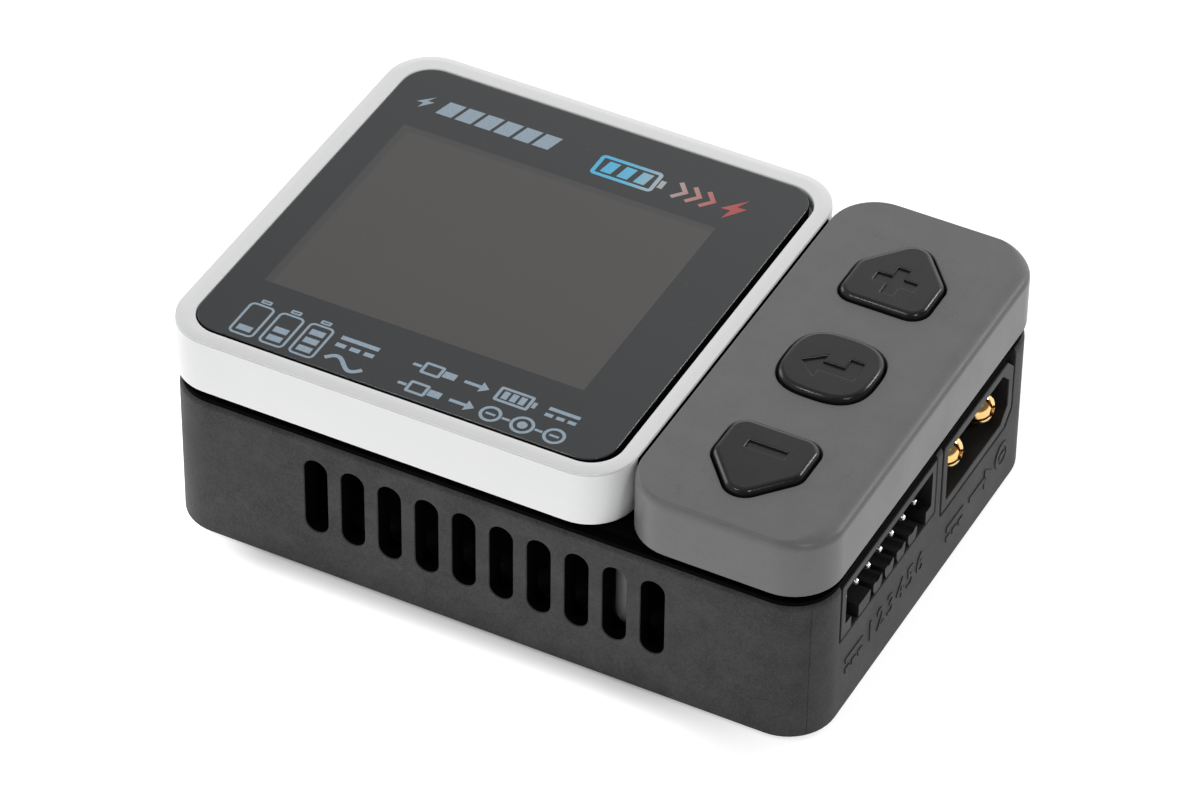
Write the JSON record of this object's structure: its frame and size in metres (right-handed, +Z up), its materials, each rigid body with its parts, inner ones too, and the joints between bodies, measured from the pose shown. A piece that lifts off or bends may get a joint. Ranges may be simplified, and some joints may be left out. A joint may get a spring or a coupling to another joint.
{
  "type": "balance battery charger",
  "caption": "Small round-cornered balance charger for model aircraft batteries with a display, a keypad, a power output socket and a balance socket on one end.",
  "frame": {"origin": "centre of the base, on the surface that the four silicone feet stand on", "axes": "+X along the long side from the display end to the keypad end where the output sockets are, +Y from the front vents to the back, +Z up out of the display"},
  "size_m": [0.069, 0.0494, 0.0249],
  "materials": {
    "case_black": "fine spark-eroded matte moulding",
    "bezel_white": "satin white moulding",
    "cover_grey": "satin dark grey moulding",
    "key_black": "satin black moulding",
    "lens": "smoked polished sheet with printed graphics",
    "lcd": "unlit display glass",
    "flex": "polyimide film",
    "board": "green solder mask",
    "socket_black": "glass-filled nylon",
    "gold": "gold-plated brass",
    "tin": "bright tin plating",
    "screw_steel": "dark zinc plating",
    "aluminium": "extruded, plain",
    "ferrite": "sintered ferrite, dull",
    "silicone": "matt silicone",
    "foam": "black foam tape"
  },
  "bodies": {
    "case": {"balance_pin_1": "tin", "balance_pin_2": "tin", "balance_pin_3": "tin", "balance_pin_4": "tin", "balance_pin_5": "tin", "balance_pin_6": "tin", "balance_pin_7": "tin", "balance_shell": "socket_black", "board_header": "socket_black", "buzzer": "case_black", "capacitor_1": "aluminium", "capacitor_2": "aluminium", "capacitor_3": "aluminium", "case_screw_front_left": "screw_steel", "case_screw_front_right": "screw_steel", "case_screw_rear_left": "screw_steel", "case_screw_rear_right": "screw_steel", "coil_left": "ferrite", "coil_right": "ferrite", "cover_screw_bezel_front": "screw_steel", "cover_screw_bezel_rear": "screw_steel", "cover_screw_keypad_front": "screw_steel", "cover_screw_keypad_rear": "screw_steel", "display_bezel": "bezel_white", "display_lens": "lens", "enter_switch": "tin", "fan_housing": "case_black", "foot_front_left": "silicone", "foot_front_right": "silicone", "foot_rear_left": "silicone", "foot_rear_right": "silicone", "heatsink": "aluminium", "input_socket_pin_1": "gold", "input_socket_pin_2": "gold", "input_socket_shell": "socket_black", "keypad_cover": "cover_grey", "lcd_backlight": "bezel_white", "lcd_flex": "flex", "lcd_panel": "lcd", "lens_gasket": "foam", "lower_case": "case_black", "main_board": "board", "mid_deck": "case_black", "minus_switch": "tin", "output_socket_pin_1": "gold", "output_socket_pin_2": "gold", "output_socket_shell": "socket_black", "plus_switch": "tin", "ui_board": "board", "usb_c_shell": "tin", "usb_c_tongue": "socket_black"},
    "plus_key": {"plus_button": "key_black", "plus_plunger": "key_black"},
    "enter_key": {"enter_button": "key_black", "enter_plunger": "key_black"},
    "minus_key": {"minus_button": "key_black", "minus_plunger": "key_black"},
    "fan_wheel": {"fan_rotor": "socket_black"}
  },
  "joints": [
    {"name": "plus_press", "type": "slide", "parent": "case", "child": "plus_key", "axis": [0, 0, -1], "range_m": [0, 0.00025], "stiffness_N_per_m": 4000},
    {"name": "enter_press", "type": "slide", "parent": "case", "child": "enter_key", "axis": [0, 0, -1], "range_m": [0, 0.00025], "stiffness_N_per_m": 4000},
    {"name": "minus_press", "type": "slide", "parent": "case", "child": "minus_key", "axis": [0, 0, -1], "range_m": [0, 0.00025], "stiffness_N_per_m": 4000},
    {"name": "fan_spin", "type": "hinge", "parent": "case", "child": "fan_wheel", "pos_m": [0, 0.00635, 0.0036], "axis": [0, 0, 1], "continuous": true}
  ]
}
